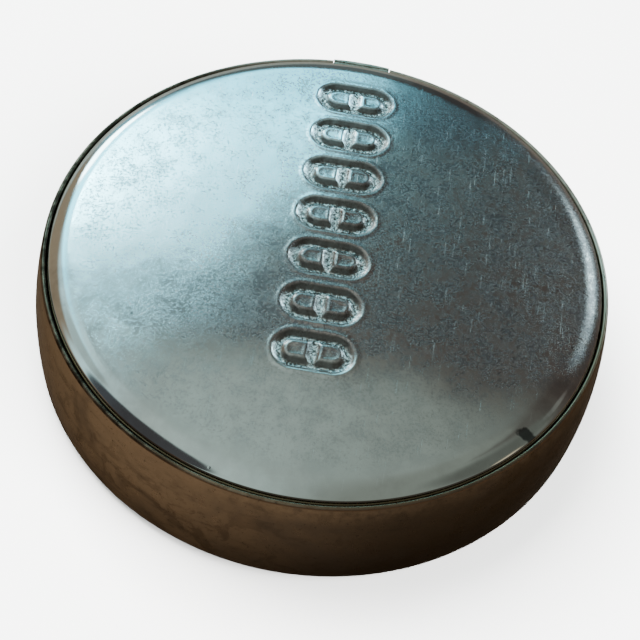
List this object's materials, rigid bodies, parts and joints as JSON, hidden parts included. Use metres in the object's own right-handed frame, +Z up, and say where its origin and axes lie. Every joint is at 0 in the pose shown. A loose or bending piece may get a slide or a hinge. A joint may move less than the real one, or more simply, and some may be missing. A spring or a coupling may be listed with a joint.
{
  "type": "round hinged pill organizer box",
  "caption": "Round metal pocket box with a shallow domed hinged lid, a barrel-shaped side wall and a divided gilt inside for pills.",
  "frame": {"origin": "centre of the flat resting face under the case", "axes": "+Z up through the lid, +Y towards the hinge, X along the hinge pin"},
  "size_m": [0.05, 0.0508, 0.0139],
  "materials": {
    "tarnished_bronze": "dark brown tarnish, half gloss",
    "silver_plate": "worn silver plate with fine grey tarnish specks",
    "gilt": "satin gilt",
    "gilt_strip": "satin gilt",
    "pin_steel": "drawn wire"
  },
  "bodies": {
    "case": {"case_shell": "tarnished_bronze", "case_sleeve": "gilt", "divider_long": "gilt_strip", "divider_short": "gilt_strip", "hinge_leaf_case": "tarnished_bronze", "hinge_pin": "pin_steel", "catch_bar": "gilt"},
    "lid": {"lid_shell": "silver_plate", "lid_lining": "gilt", "lid_collar": "gilt", "hinge_leaf_lid": "tarnished_bronze", "catch_tongue": "gilt"}
  },
  "joints": [
    {"name": "lid_hinge", "type": "hinge", "parent": "case", "child": "lid", "pos_m": [0, 0.02504, 0.0092], "axis": [-1, 0, 0], "range_deg": [0, 100]}
  ]
}
